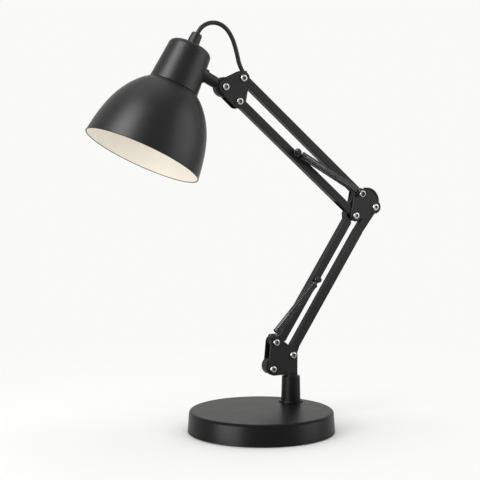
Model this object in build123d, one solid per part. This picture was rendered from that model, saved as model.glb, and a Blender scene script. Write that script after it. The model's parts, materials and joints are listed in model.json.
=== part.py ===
from build123d import *
import math
import os

# Articulated desk lamp: a round base, a lower and an upper parallelogram arm, an elbow and a tilting shade.
# Millimetres, +Z up, origin under the middle of the base. The arms lie in the plane of the post.

os.makedirs("parts", exist_ok=True)

# Base and post
BASE_R = 100.0
BASE_H = 29.3
BASE_TAPER = 2.0
BASE_EDGE = 4.0
BASE_WALL = 2.5
BASE_LIFT = 1.0
PAD_T = 2.0
PLATE_T = 2.0
PLATE_GAP = 0.4
WEIGHT_INSET = 20.0
WEIGHT_H = 15.5
WEIGHT_EDGE = 2.0
SCREW_INSET = 13.0
SCREW_COUNT = 3
SCREW_R = 2.0
SCREW_HEAD_R = 4.0
SCREW_HEAD_T = 1.4
SCREW_L = 12.0
BOSS_R = 5.5
POST_INSET = 34.5
POST_SIDE = 0.33
POST_X = BASE_R - POST_INSET
POST_Y = POST_SIDE * BASE_R
POST_FOOT_R = 13.6
POST_TOP_R = 12.7
POST_TOP = 65.7
POST_RIM = 0.7
COLLAR_R = 16.8
COLLAR_T = 1.8
SPIGOT_R = 9.0
SPIGOT_TAIL = 1.0
NUT_R = 14.0
NUT_T = 5.0
NUT_ROOM = 4.0
BUSH_R = 8.0
BUSH_DEPTH = 28.0
BUSH_FLOOR = 2.0
BUSH_FLANGE_T = 0.6
SPINDLE_R = 5.0
SPINDLE_CLEAR = 4.0
SPINDLE_COLLAR_R = 9.5
SPINDLE_COLLAR_T = 2.0
SPIGOT_STEP = 1.0
SPIGOT_L = 11.0
GROMMET_R = 5.0
GROMMET_FLANGE_R = 7.0
GROMMET_BORE_R = 3.1
GROMMET_Z = 13.0
GROMMET_EDGE = 0.8

# Fits
RUN = 0.10
SLIP = 0.05
GAP = 0.3

# Arms: in-plane places are (across, up) from the post's axis at floor level
ARM = Plane(origin=(POST_X, POST_Y, 0), x_dir=(1, 0, 0), z_dir=(0, -1, 0))
FOOT_FRONT = (-28.2, 115.1)
FOOT_STEP = (27.0, -19.6)
FOOT_SCREW = (-33.0, 77.9)
LINK_L = 245.0
LOWER_ANGLE = 56.3
UPPER_ANGLE = 139.8
ELBOW_STEP = (-5.9, -31.1)
TILT_STEP = (-27.15, -12.3)
TUBE = 11.5
TUBE_WALL = 1.15
TUBE_CORNER = 1.0
PLUG_L = 14.0
FRONT_SHIFT = -7.6
REAR_SHIFT = 2.0
TOP_SHIFT = -1.9
LOW_SHIFT = -1.5
FOOT_START = 13.0
REAR_START = 16.0
FRONT_END = 42.0
REAR_END = 42.0
WEB_LEFT = 3.5
WEB_RIGHT = -0.2
WEB_CLEAR = 1.6
TONGUE_HEEL = 2.0
PIN_R = 2.5
EYE_R = 7.0
LUG_T = 10.4
TONGUE_T = 8.6
TOP_SLOT = 17.0
CROSS_SLOT = 37.0
BUSH_WALL = 1.0

# Brackets
PLATE_IN = 6.2
SHEET = 1.6
PLATE_EDGE = 0.4
FOOT_LOBE_R = 8.4
REAR_LOBE_R = 7.6
SCREW_LOBE_R = 7.2
PLATE_CORNER_R = 1.5
DRUM_STEP = (1.5, 4.1)
DRUM_R = 12.0
BLOCK_BEVEL = 4.0
BLOCK_CLEAR = 2.0
EAR_ROOT_R = 4.5
ELBOW_HUB = (14.4, -11.8)
HUB_R = 16.5
HUB_NECK_R = 12.0
ELBOW_LOBE_R = 8.3
ELBOW_LOW_R = 8.5
ELBOW_REAR_R = 9.5
GUARD_R = 20.3
GUARD_T = 5.5
GUARD_ARC = (12.0, 84.0)
HEAD_LOBE_R = 9.7
HEAD_R = 4.9
HEAD_T = 2.7
SOCKET_AF = 4.8
SOCKET_D = 1.6
EYELET_R = 2.9
EYELET_D = 2.2
NUT_AF = 8.0
NUT_H = 3.2
WASHER_R = 6.4
WASHER_T = 0.6

# Springs
WIRE = 1.5
COIL_R = 4.6
TURNS = 25
SPRING_Y = 13.6
STUD_R = 1.8
STUD_SHOULDER_R = 2.9
KNOB_R = 3.9
KNOB_T = 4.0
EYE_WIRE_R = 0.9
EYE_RING_R = 3.8
CORE_R = 2.5
CORE_L = 5.0
CAP_T = 1.5
NECK = 4.5
NECK_BURY = 0.2
COIL_LEAD = 3.0
FOOT_ANCHOR = (-8.9, 9.2)
ANCHOR_EAR_R = 3.4
LOWER_STUD = (105.8, 1.7)
UPPER_STUD = (134.0, -2.7)

# Shade, measured along its axis from the mouth
SHADE_TILT = 26.6
STEM_REACH = 65.2
STEM_RISE = 34.8
MOUTH_R = 80.0
WAIST = (0.875, 0.5)
SHOULDER = (0.6375, 0.85)
BELL_H = 100.0
STEM_HEIGHT = BELL_H + STEM_RISE
NECK_R = 35.0
DECK_BURY = 0.4
SHEET_SHADE = 1.2
BEAD_R = 1.1
CAP_FOOT_R = 34.2
CAP_TOP_R = 29.2
CAP_H = 60.5
CAP_EDGE = 8.0
KNUCKLE_R = 13.4
KNUCKLE_T = 11.0
KNUCKLE_EDGE = 1.0
STEM_R = 7.8
STEM_START = 13.5
STEM_EDGE = 0.8
STEM_TAIL = 0.6
STEM_PIN_R = 4.0
BOSS_FLANGE_R = 10.0
BOSS_NECK_R = 6.0
BOSS_REACH = 4.0
BOSS_BURY = 3.0
STEM_NUT_R = 6.6
STEM_NUT_T = 4.0
HOLDER_R = 19.5
HOLDER_H = 52.0
HOLDER_DROP = 14.0
HOLDER_EDGE = 4.0
HOLDER_FLANGE_R = 25.0
HOLDER_FLANGE_T = 2.0
SOCKET_R = 13.6
SOCKET_DEPTH = 26.0
RING_R = 25.0
RING_T = 4.0
BULB_BASE_R = 13.0
BULB_R = 22.5
BULB_DROP = 40.0
BULB_COLLAR = 2.0
BULB_SHANK = 0.86
GLAND_FOOT_R = 8.8
GLAND_TOP_R = 7.3
GLAND_H = 19.0
GLAND_EDGE = 1.4

# Lead from the gland to the head bracket; its bends lie along and above the straight line between its ends,
# as parts of that line's length
CORD_R = 3.0
CORD_END = (2.6, 9.5)
CORD_LEAD = 0.1006
CORD_BENDS = (
    (0.011, 0.204),
    (0.065, 0.296),
    (0.146, 0.366),
    (0.245, 0.408),
    (0.353, 0.415),
    (0.466, 0.387),
    (0.606, 0.311),
    (0.771, 0.171),
    (0.888, 0.057),
)
GLAND_RUN_COUNT = 6
CORD_SEAT = 3.0
CORD_BUSH_W = 10.2
CORD_BUSH_H = 2.9

BOTTOM = (Align.CENTER, Align.CENTER, Align.MIN)


def add(p, q):
    return (p[0] + q[0], p[1] + q[1])


def polar(p, length, angle):
    a = math.radians(angle)
    return (p[0] + length * math.cos(a), p[1] + length * math.sin(a))


def save(shape, name):
    shape.label = name
    export_step(shape, f"parts/{name}.step")


def group(shapes):
    return Compound(children=list(shapes))


FOOT_REAR = add(FOOT_FRONT, FOOT_STEP)
ELBOW = polar(FOOT_FRONT, LINK_L, LOWER_ANGLE)
ELBOW_REAR = add(ELBOW, FOOT_STEP)
ELBOW_LOW = add(ELBOW, ELBOW_STEP)
HEAD_TOP = polar(ELBOW, LINK_L, UPPER_ANGLE)
HEAD_LOW = add(HEAD_TOP, ELBOW_STEP)
TILT = add(HEAD_TOP, TILT_STEP)
PLATE_OUT = PLATE_IN + SHEET


def slab(sketch, back, front):
    """An in-plane outline made solid between two distances in front of the arms' middle plane."""
    return ARM * (Pos(0, 0, back) * extrude(sketch, front - back))


def rod(p, radius, back, front):
    return ARM * (Pos(p[0], p[1], back) * Cylinder(radius, front - back, align=BOTTOM))


def lobes(*places):
    """The taut outline round circles given as (place, radius)."""
    circles = Sketch() + [Pos(*p) * Circle(r) for p, r in places]
    return make_hull(circles.edges())


def plate_pair(outline, holes, front_outline=None):
    """Front and rear bracket plates with clearance holes for their screws."""
    cuts = [Pos(*p) * Circle(PIN_R + SLIP) for p in holes]
    front = slab((front_outline or outline) - cuts, PLATE_IN, PLATE_OUT)
    rear = slab(outline - cuts, -PLATE_OUT, -PLATE_IN)
    front = chamfer(front.faces().sort_by(Axis.Y)[0].outer_wire().edges(), PLATE_EDGE)
    rear = chamfer(rear.faces().sort_by(Axis.Y)[-1].outer_wire().edges(), PLATE_EDGE)
    return front, rear


def pivot_screw(p, reach=0.0, eyelet=False):
    """A button-head screw whose shank is the pivot pin; reach lifts its head off the plate."""
    base = PLATE_OUT + reach
    shank = rod(p, PIN_R, -PLATE_OUT - NUT_H, base)
    head = Cylinder(HEAD_R, HEAD_T, align=BOTTOM)
    head = fillet(head.edges().sort_by(Axis.Z)[-1], HEAD_T * 0.6)
    if eyelet:
        recess = extrude(Circle(EYELET_R), EYELET_D)
        depth = EYELET_D
    else:
        recess = extrude(RegularPolygon(SOCKET_AF / 2, 6, major_radius=False), SOCKET_D)
        depth = SOCKET_D
    head -= Pos(0, 0, HEAD_T - depth) * recess
    return shank + ARM * (Pos(p[0], p[1], base) * head)


def pivot_nut(p):
    nut = extrude(RegularPolygon(NUT_AF / 2, 6, major_radius=False) - Circle(PIN_R + SLIP), NUT_H)
    return ARM * (Pos(p[0], p[1], -PLATE_OUT - NUT_H) * nut)


def washer_pair(p, thickness):
    ring = Circle(WASHER_R) - Circle(PIN_R + SLIP)
    ring = Pos(*p) * ring
    return [slab(ring, PLATE_IN - thickness, PLATE_IN), slab(ring, -PLATE_IN, -PLATE_IN + thickness)]


# Base


def base_parts():
    top_r = BASE_R - BASE_TAPER
    outline = Polyline((0, BASE_LIFT), (BASE_R, BASE_LIFT), (top_r, BASE_H), (0, BASE_H), close=True)
    body = revolve(Plane.XZ * make_face(outline), Axis.Z)
    body = fillet(body.edges().group_by(Axis.Z)[-1], BASE_EDGE)
    ceiling = BASE_H - BASE_WALL
    hollow = Polyline(
        (0, 0), (BASE_R - BASE_WALL, 0), (top_r - BASE_WALL, ceiling), (0, ceiling), close=True
    )
    body -= revolve(Plane.XZ * make_face(hollow), Axis.Z)
    deck = PAD_T + PLATE_T
    bosses = PolarLocations(BASE_R - SCREW_INSET, SCREW_COUNT, start_angle=90)
    body += bosses * (Pos(0, 0, deck) * Cylinder(BOSS_R, ceiling - deck, align=BOTTOM))
    body -= bosses * (Pos(0, 0, deck) * Cylinder(SCREW_R + SLIP, ceiling - deck - BASE_WALL, align=BOTTOM))
    body -= Pos(POST_X, POST_Y, 0) * Cylinder(SPIGOT_R + SLIP, BASE_H, align=BOTTOM)
    wall_y = BASE_R - BASE_TAPER * GROMMET_Z / BASE_H
    inlet = Plane(origin=(0, wall_y, GROMMET_Z), x_dir=(1, 0, 0), z_dir=(0, 1, 0))
    body -= inlet * Cylinder(GROMMET_R + SLIP, 4 * BASE_WALL)
    grommet = Pos(0, 0, -2 * BASE_WALL) * Cylinder(GROMMET_R, 2 * BASE_WALL + BASE_WALL, align=BOTTOM)
    lean = BASE_TAPER * GROMMET_FLANGE_R / BASE_H + GAP
    grommet += Pos(0, 0, lean) * Cylinder(GROMMET_FLANGE_R, BASE_WALL - lean, align=BOTTOM)
    grommet -= Cylinder(GROMMET_BORE_R, 8 * BASE_WALL)
    rim = fillet(grommet.edges().group_by(Axis.Z)[-1].sort_by(SortBy.LENGTH)[-1], GROMMET_EDGE)
    save(inlet * rim, "lead_grommet")
    save(body, "base_shell")

    plate_r = BASE_R - BASE_WALL - PLATE_GAP
    pad = Cylinder(plate_r, PAD_T, align=BOTTOM)
    pad -= bosses * Cylinder(SCREW_HEAD_R + GAP, PAD_T, align=BOTTOM)
    save(pad, "base_pad")
    plate = Pos(0, 0, PAD_T) * Cylinder(plate_r, PLATE_T, align=BOTTOM)
    plate -= bosses * (Pos(0, 0, PAD_T) * Cylinder(SCREW_R + SLIP, PLATE_T, align=BOTTOM))
    save(plate, "base_plate")
    weight = Pos(0, 0, deck) * Cylinder(BASE_R - WEIGHT_INSET, WEIGHT_H, align=BOTTOM)
    weight = chamfer(weight.edges().group_by(Axis.Z)[-1], WEIGHT_EDGE)
    weight -= Pos(POST_X, POST_Y, deck) * Cylinder(NUT_R + NUT_ROOM, WEIGHT_H, align=BOTTOM)
    save(weight, "base_weight")
    screw = Pos(0, 0, PAD_T - SCREW_HEAD_T) * Cylinder(SCREW_HEAD_R, SCREW_HEAD_T, align=BOTTOM)
    screw += Pos(0, 0, PAD_T) * Cylinder(SCREW_R, PLATE_T + SCREW_L, align=BOTTOM)
    save(group(bosses * screw), "base_screws")

    foot = BASE_H + COLLAR_T
    collar = Pos(POST_X, POST_Y, BASE_H) * Cylinder(COLLAR_R, COLLAR_T, align=BOTTOM)
    collar = fillet(collar.edges().group_by(Axis.Z)[-1], COLLAR_T * 0.4)
    collar -= Pos(POST_X, POST_Y, BASE_H) * Cylinder(SPIGOT_R + SLIP, COLLAR_T, align=BOTTOM)
    save(collar, "post_collar")
    nut_low = ceiling - NUT_T
    post = Cone(POST_FOOT_R, POST_TOP_R, POST_TOP - foot, align=BOTTOM)
    post = chamfer(post.edges().group_by(Axis.Z)[-1], POST_RIM)
    post = Pos(0, 0, foot) * post
    tail = nut_low - SPIGOT_TAIL
    post += Pos(0, 0, tail) * Cylinder(SPIGOT_R, foot - tail, align=BOTTOM)
    post -= Pos(0, 0, POST_TOP - BUSH_DEPTH) * Cylinder(BUSH_R + SLIP, BUSH_DEPTH, align=BOTTOM)
    save(Pos(POST_X, POST_Y, 0) * post, "base_post")
    nut = extrude(RegularPolygon(NUT_R, 6) - Circle(SPIGOT_R + SLIP), NUT_T)
    save(Pos(POST_X, POST_Y, nut_low) * nut, "post_nut")
    bush = Pos(0, 0, POST_TOP - BUSH_DEPTH) * Cylinder(BUSH_R, BUSH_DEPTH, align=BOTTOM)
    bush += Pos(0, 0, POST_TOP) * Cylinder(SPINDLE_COLLAR_R, BUSH_FLANGE_T, align=BOTTOM)
    bush -= Pos(0, 0, POST_TOP - BUSH_DEPTH + BUSH_FLOOR) * Cylinder(SPINDLE_R + RUN, BUSH_DEPTH, align=BOTTOM)
    save(Pos(POST_X, POST_Y, 0) * bush, "post_bush")


# Lower bracket


def lower_bracket():
    seat = POST_TOP + BUSH_FLANGE_T + GAP
    block_foot = seat + SPINDLE_COLLAR_T
    reach = BUSH_DEPTH - SPINDLE_CLEAR
    spindle = Pos(0, 0, seat - reach) * Cylinder(SPINDLE_R, reach, align=BOTTOM)
    spindle += Pos(0, 0, seat) * Cylinder(SPINDLE_COLLAR_R, SPINDLE_COLLAR_T, align=BOTTOM)
    spigot_r = SPINDLE_R - SPIGOT_STEP
    spindle += Pos(0, 0, block_foot) * Cylinder(spigot_r, SPIGOT_L, align=BOTTOM)
    save(Pos(POST_X, POST_Y, 0) * spindle, "swivel_spindle")

    drum = add(FOOT_SCREW, DRUM_STEP)
    right = FOOT_REAR[0] + REAR_LOBE_R
    block_top = FOOT_REAR[1] - EYE_R - BLOCK_CLEAR
    heel = Polygon(
        (drum[0], block_foot), (right, block_foot), (right, block_top - BLOCK_BEVEL),
        (right - BLOCK_BEVEL, block_top), (drum[0], block_top), align=None,
    )
    outline = Pos(*drum) * Circle(DRUM_R) + heel
    outline -= Pos(*FOOT_SCREW) * Circle(PIN_R + SLIP)
    block = slab(outline, -PLATE_IN, PLATE_IN)
    block -= Pos(POST_X, POST_Y, block_foot) * Cylinder(spigot_r + SLIP, SPIGOT_L, align=BOTTOM)
    save(block, "swivel_block")

    corner = ((right - PLATE_CORNER_R, block_foot + PLATE_CORNER_R + GAP), PLATE_CORNER_R)
    outline = lobes((FOOT_FRONT, FOOT_LOBE_R), (FOOT_REAR, REAR_LOBE_R), (FOOT_SCREW, SCREW_LOBE_R), corner)
    anchor = add(FOOT_FRONT, FOOT_ANCHOR)
    eared = outline + lobes((FOOT_FRONT, EAR_ROOT_R), (anchor, ANCHOR_EAR_R))
    eared -= Pos(*anchor) * Circle(STUD_R + SLIP)
    pivots = (FOOT_FRONT, FOOT_REAR, FOOT_SCREW)
    front, rear = plate_pair(outline, pivots, eared)
    save(front, "lower_plate_front")
    save(rear, "lower_plate_rear")
    save(group(pivot_screw(p) for p in pivots), "lower_bracket_screws")
    save(group(pivot_nut(p) for p in pivots), "lower_bracket_nuts")
    rings = washer_pair(FOOT_FRONT, WASHER_T) + washer_pair(FOOT_REAR, WASHER_T)
    save(group(rings), "lower_bracket_washers")
    save(stud(anchor, PLATE_IN, PLATE_OUT), "lower_anchor_stud")


def stud(p, root, face):
    """A spring post set in a sheet from root to face, with a shoulder, and a knob past the spring's eye."""
    tip = SPRING_Y + EYE_WIRE_R + GAP
    body = rod(p, STUD_R, root, tip)
    body += rod(p, STUD_SHOULDER_R, face, SPRING_Y - EYE_WIRE_R - GAP)
    knob = fillet(Cylinder(KNOB_R, KNOB_T, align=BOTTOM).edges().filter_by(GeomType.CIRCLE), KNOB_T * 0.42)
    return body + ARM * (Pos(p[0], p[1], tip) * knob)


# Links


def link_frame(p, angle):
    return ARM * Pos(p[0], p[1], 0) * Rot(0, 0, angle)


def square_tube(start, end, shift):
    middle = Pos((start + end) / 2, shift, 0)
    length = end - start
    body = fillet(Box(length, TUBE, TUBE).edges().filter_by(Axis.X), TUBE_CORNER)
    bore = TUBE - 2 * TUBE_WALL
    return middle * (body - Box(length, bore, bore))


def through(sketch, thickness):
    return Pos(0, 0, -thickness / 2) * extrude(sketch, thickness)


def plug(start, end, shift):
    side = TUBE - 2 * TUBE_WALL - 2 * SLIP
    return Pos((start + end) / 2, shift, 0) * Box(abs(end - start), side, side)


def drawn_out(end, shift):
    """An eye on the pivot, drawn out to the end of a tube that runs beside the pivot line."""
    mouth = Pos(end - math.copysign(TONGUE_HEEL / 2, end), shift) * Rectangle(TONGUE_HEEL, TUBE)
    return make_hull((Sketch() + [Circle(EYE_R), mouth]).edges())


def foot_lug(shift, start):
    lug = through(drawn_out(start, shift), LUG_T) + plug(start, start + PLUG_L, shift)
    return lug - through(Circle(PIN_R + RUN), LUG_T)


def tongue(outline, end, shift):
    """A thin tongue past the end of a tube, with its eye on the pivot at the frame's origin."""
    body = through(outline + Circle(EYE_R), TONGUE_T) + plug(end, end - PLUG_L, shift)
    return body - through(Circle(PIN_R + RUN), TONGUE_T)


def stud_place(pivot, angle, shift, place):
    """A stud's place beside a pivot line, given along the tube and across from the tube's middle."""
    return polar(polar(pivot, place[0], angle), shift + place[1], angle + 90)


def lower_links():
    half = TUBE / 2
    front = link_frame(FOOT_FRONT, LOWER_ANGLE)
    top = link_frame(ELBOW, LOWER_ANGLE)
    tube = square_tube(FOOT_START, LINK_L - FRONT_END, FRONT_SHIFT)
    stud_hole = Pos(LOWER_STUD[0], FRONT_SHIFT + LOWER_STUD[1], half) * Cylinder(STUD_R + SLIP, 4 * TUBE_WALL)
    save(front * (tube - stud_hole), "lower_front_tube")
    save(front * foot_lug(FRONT_SHIFT, FOOT_START), "lower_front_lug")
    low = FRONT_SHIFT - half
    passing = math.hypot(*ELBOW_STEP)
    room = PIN_R + WEB_CLEAR
    arm = Polygon(
        (0, EYE_R), (-2 * EYE_R, WEB_LEFT), (-FRONT_END + EYE_R, WEB_LEFT), (-FRONT_END, low + TUBE),
        (-FRONT_END, low), (-FRONT_END + TONGUE_HEEL, low), (-passing - room, WEB_RIGHT),
        (-passing + room, WEB_RIGHT), (0, -EYE_R / 2), align=None,
    )
    save(top * tongue(arm, -FRONT_END, FRONT_SHIFT), "lower_front_tongue")
    p = stud_place(FOOT_FRONT, LOWER_ANGLE, FRONT_SHIFT, LOWER_STUD)
    save(stud(p, half - TUBE_WALL, half), "lower_link_stud")

    rear = link_frame(FOOT_REAR, LOWER_ANGLE)
    top = link_frame(ELBOW_REAR, LOWER_ANGLE)
    save(rear * square_tube(REAR_START, LINK_L - REAR_END, REAR_SHIFT), "lower_rear_tube")
    save(rear * foot_lug(REAR_SHIFT, REAR_START), "lower_rear_lug")
    save(top * tongue(drawn_out(-REAR_END, REAR_SHIFT), -REAR_END, REAR_SHIFT), "lower_rear_tongue")


def upper_tube(slot, shift):
    """A square tube with round ends, slotted to straddle a tongue at its first end and bushed at its second."""
    outline = Pos(LINK_L / 2, shift) * SlotCenterToCenter(LINK_L, TUBE)
    bore = TUBE - 2 * TUBE_WALL
    blank = Pos(LINK_L / 2, shift, 0) * Box(LINK_L + TUBE, TUBE, TUBE)
    blank = fillet(blank.edges().filter_by(Axis.X), TUBE_CORNER)
    body = blank & through(outline, TUBE)
    body -= Pos(LINK_L / 2, shift, 0) * Box(LINK_L + 2 * TUBE, bore, bore)
    body -= Pos(slot / 2 - TUBE, shift, 0) * Box(slot + 2 * TUBE, 2 * TUBE, bore)
    body -= through(Circle(PIN_R + RUN), 2 * TUBE)
    body -= Pos(LINK_L, 0, 0) * through(Circle(PIN_R + BUSH_WALL + SLIP), 2 * TUBE)
    return body


def link_bush():
    length = 2 * PLATE_IN - GAP
    return Pos(LINK_L, 0, 0) * through(Circle(PIN_R + BUSH_WALL) - Circle(PIN_R + RUN), length)


def upper_links():
    half = TUBE / 2
    top = link_frame(ELBOW, UPPER_ANGLE)
    save(top * upper_tube(TOP_SLOT, TOP_SHIFT), "upper_top_tube")
    save(top * link_bush(), "upper_top_bush")
    low = link_frame(ELBOW_LOW, UPPER_ANGLE)
    stud_hole = Pos(UPPER_STUD[0], LOW_SHIFT + UPPER_STUD[1], half) * Cylinder(STUD_R + SLIP, 4 * TUBE_WALL)
    save(low * (upper_tube(CROSS_SLOT, LOW_SHIFT) - stud_hole), "upper_bottom_tube")
    save(low * link_bush(), "upper_bottom_bush")
    p = stud_place(ELBOW_LOW, UPPER_ANGLE, LOW_SHIFT, UPPER_STUD)
    save(stud(p, half - TUBE_WALL, half), "upper_link_stud")


# Elbow


def elbow():
    hub = add(ELBOW, ELBOW_HUB)
    outline = lobes((ELBOW, ELBOW_LOBE_R), (ELBOW_LOW, ELBOW_LOW_R), (hub, HUB_R))
    outline += lobes((ELBOW_REAR, ELBOW_REAR_R), (hub, HUB_NECK_R))
    pivots = (ELBOW, ELBOW_REAR, ELBOW_LOW)
    front, rear = plate_pair(outline, pivots)
    save(front, "elbow_plate_front")
    save(rear, "elbow_plate_rear")
    reach = SPRING_Y + EYE_WIRE_R + GAP - PLATE_OUT
    screws = [pivot_screw(ELBOW, reach, eyelet=True), pivot_screw(ELBOW_REAR), pivot_screw(ELBOW_LOW)]
    save(group(screws), "elbow_screws")
    save(group(pivot_nut(p) for p in pivots), "elbow_nuts")
    gap = PLATE_IN - TONGUE_T / 2 - GAP
    save(group(washer_pair(ELBOW_REAR, gap)), "elbow_washers")
    sector = Pos(*hub) * (Circle(GUARD_R) - Circle(GUARD_R - GUARD_T))
    first, last = GUARD_ARC
    rays = [polar(hub, 3 * GUARD_R, a) for a in (first, (first + last) / 2, last)]
    wedge = Polygon(hub, *rays, align=None)
    save(slab(sector & wedge, -PLATE_IN, PLATE_IN), "elbow_guard")


# Springs


def biarc(p, t, q, u):
    """Two tangent arcs from p along t to q along u."""
    v = q - p
    s = t + u
    a = 2 * (1 - t.dot(u))
    b = v.dot(s)
    c = v.dot(v)
    if abs(a) < 1e-9:
        d = c / (2 * b)
    else:
        d = (-b + math.sqrt(b * b + a * c)) / a
    j = (p + t * d + q - u * d) * 0.5
    turn = (j - p).normalized()
    first = Edge.make_line(p, j) if turn.dot(t) > 1 - 1e-9 else Edge.make_tangent_arc(p, t, j)
    mid = first.tangent_at(1)
    turn = (q - j).normalized()
    last = Edge.make_line(j, q) if turn.dot(mid) > 1 - 1e-9 else Edge.make_tangent_arc(j, mid, q)
    return [first, last]


def coil(length, name):
    """A coil along X from 0 to length whose wire leaves each end along the axis, square to its end cap."""
    pitch = (length - 2 * COIL_LEAD) / TURNS
    knots = [(Vector(WIRE, -COIL_R, 0), Vector(1, 0, 0))]
    for i in range(4 * TURNS + 1):
        a = math.radians(90 * i)
        place = Vector(COIL_LEAD + pitch * i / 4, -COIL_R * math.cos(a), COIL_R * math.sin(a))
        way = Vector(pitch / 4, COIL_R * math.sin(a) * math.pi / 2, COIL_R * math.cos(a) * math.pi / 2)
        knots.append((place, way.normalized()))
    knots.append((Vector(length - WIRE, -COIL_R, 0), Vector(1, 0, 0)))
    edges = [Edge.make_line((0, -COIL_R, 0), knots[0][0])]
    for (p, t), (q, u) in zip(knots, knots[1:]):
        edges += biarc(p, t, q, u)
    edges.append(Edge.make_line(knots[-1][0], (length, -COIL_R, 0)))
    path = Wire(edges)
    section = Plane(origin=(0, -COIL_R, 0), x_dir=(0, 1, 0), z_dir=(1, 0, 0)) * RegularPolygon(WIRE / 2, 6)
    tube = sweep(section, path)
    points = [path @ (i / (24 * TURNS)) for i in range(24 * TURNS + 1)]
    least = min(
        (points[i] - points[j]).length
        for i in range(len(points))
        for j in range(i + 14, min(i + 40, len(points)))
    )
    print(name, "turns", TURNS, "least gap to itself", round(least - WIRE, 2), "mm")
    return tube


def spring(start, end, name):
    """A coil between two studs with a capped eye at each end; the eyes ring the studs."""
    dx = end[0] - start[0]
    dz = end[1] - start[1]
    span = math.hypot(dx, dz)
    frame = ARM * Pos(start[0], start[1], SPRING_Y) * Rot(0, 0, math.degrees(math.atan2(dz, dx)))
    inset = EYE_RING_R + NECK + CAP_T
    ring = Torus(EYE_RING_R, EYE_WIRE_R)
    turn = Plane(origin=(0, 0, 0), x_dir=(0, 1, 0), z_dir=(1, 0, 0))
    eye = ring + turn * (Pos(0, 0, EYE_RING_R) * Cylinder(EYE_WIRE_R, NECK + NECK_BURY, align=BOTTOM))
    eye += turn * (Pos(0, 0, inset - CAP_T) * Cylinder(COIL_R + WIRE / 2, CAP_T, align=BOTTOM))
    eye += turn * (Pos(0, 0, inset) * Cylinder(CORE_R, CORE_L, align=BOTTOM))
    save(frame * (Pos(inset, 0, 0) * coil(span - 2 * inset, name)), name)
    save(frame * eye, name + "_tail")
    save(frame * (Pos(span, 0, 0) * Rot(0, 0, 180) * eye), name + "_hook")


def springs():
    anchor = add(FOOT_FRONT, FOOT_ANCHOR)
    spring(anchor, stud_place(FOOT_FRONT, LOWER_ANGLE, FRONT_SHIFT, LOWER_STUD), "lower_spring")
    spring(ELBOW, stud_place(ELBOW_LOW, UPPER_ANGLE, LOW_SHIFT, UPPER_STUD), "upper_spring")


# Head


def head_bracket():
    outline = lobes((TILT, HEAD_LOBE_R), (HEAD_TOP, HEAD_LOBE_R), (HEAD_LOW, HEAD_LOBE_R))
    pivots = (TILT, HEAD_TOP, HEAD_LOW)
    front, rear = plate_pair(outline, pivots)
    save(front, "head_plate_front")
    save(rear, "head_plate_rear")
    save(group(pivot_screw(p) for p in pivots), "head_bracket_screws")
    save(group(pivot_nut(p) for p in pivots), "head_bracket_nuts")
    save(group(washer_pair(TILT, PLATE_IN - KNUCKLE_T / 2 - RUN)), "tilt_washers")
    before, seat = cord_route()[-2:]
    foot = HEAD_TOP[1] + TUBE / 2 - TOP_SHIFT + GAP
    bar = Pos(seat[0], foot + CORD_BUSH_H / 2) * RectangleRounded(CORD_BUSH_W, CORD_BUSH_H, 0.35 * CORD_BUSH_H)
    bush = slab(bar, -PLATE_IN, PLATE_IN)
    origin = ARM.from_local_coords(Vector(seat[0], seat[1], 0))
    way = Vector(before[0] - seat[0], 0, before[1] - seat[1])
    bore = Plane(origin=origin, z_dir=way) * Cylinder(CORD_R + 2 * RUN, 6 * CORD_BUSH_H)
    save(bush - bore, "cable_bush")


SHADE = ARM * Pos(TILT[0], TILT[1], 0) * Rot(0, 0, -SHADE_TILT)


def shade_axis():
    """Frame at the middle of the mouth: Z along the shade's axis, X towards the tilt pivot."""
    mouth = SHADE * Pos(-STEM_REACH, -STEM_HEIGHT, 0)
    return mouth * Rot(-90, 0, 0)


def knuckle():
    half = KNUCKLE_T / 2
    disc = through(Circle(KNUCKLE_R), KNUCKLE_T)
    disc = chamfer(disc.edges().filter_by(GeomType.CIRCLE), KNUCKLE_EDGE)
    stemward = Rot(0, -90, 0)
    neck = stemward * Cylinder(half, STEM_START, align=BOTTOM)
    body = disc + neck - through(Circle(PIN_R + RUN), KNUCKLE_T)
    save(SHADE * body, "head_knuckle")
    skin = cap_radius(STEM_HEIGHT)
    flange = STEM_REACH - skin - BOSS_REACH
    stem = Pos(0, 0, STEM_START) * Cylinder(STEM_R, flange - GAP - STEM_START, align=BOTTOM)
    stem = fillet(stem.edges().group_by(Axis.Z)[0], STEM_EDGE)
    nut_at = STEM_REACH - skin + 2 * SHEET_SHADE + BOSS_REACH + GAP
    tip = nut_at + STEM_NUT_T + STEM_TAIL
    stem += Pos(0, 0, flange - GAP) * Cylinder(STEM_PIN_R, tip - flange + GAP, align=BOTTOM)
    save(SHADE * (stemward * stem), "shade_stem")
    nut = extrude(RegularPolygon(STEM_NUT_R, 6) - Circle(STEM_PIN_R + SLIP), STEM_NUT_T)
    save(SHADE * (stemward * (Pos(0, 0, nut_at) * nut)), "stem_nut")


def cap_radius(height):
    return CAP_FOOT_R + (CAP_TOP_R - CAP_FOOT_R) * (height - BELL_H) / CAP_H


def turned(outline):
    return revolve(Plane.XZ * make_face(outline), Axis.Z)


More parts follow.
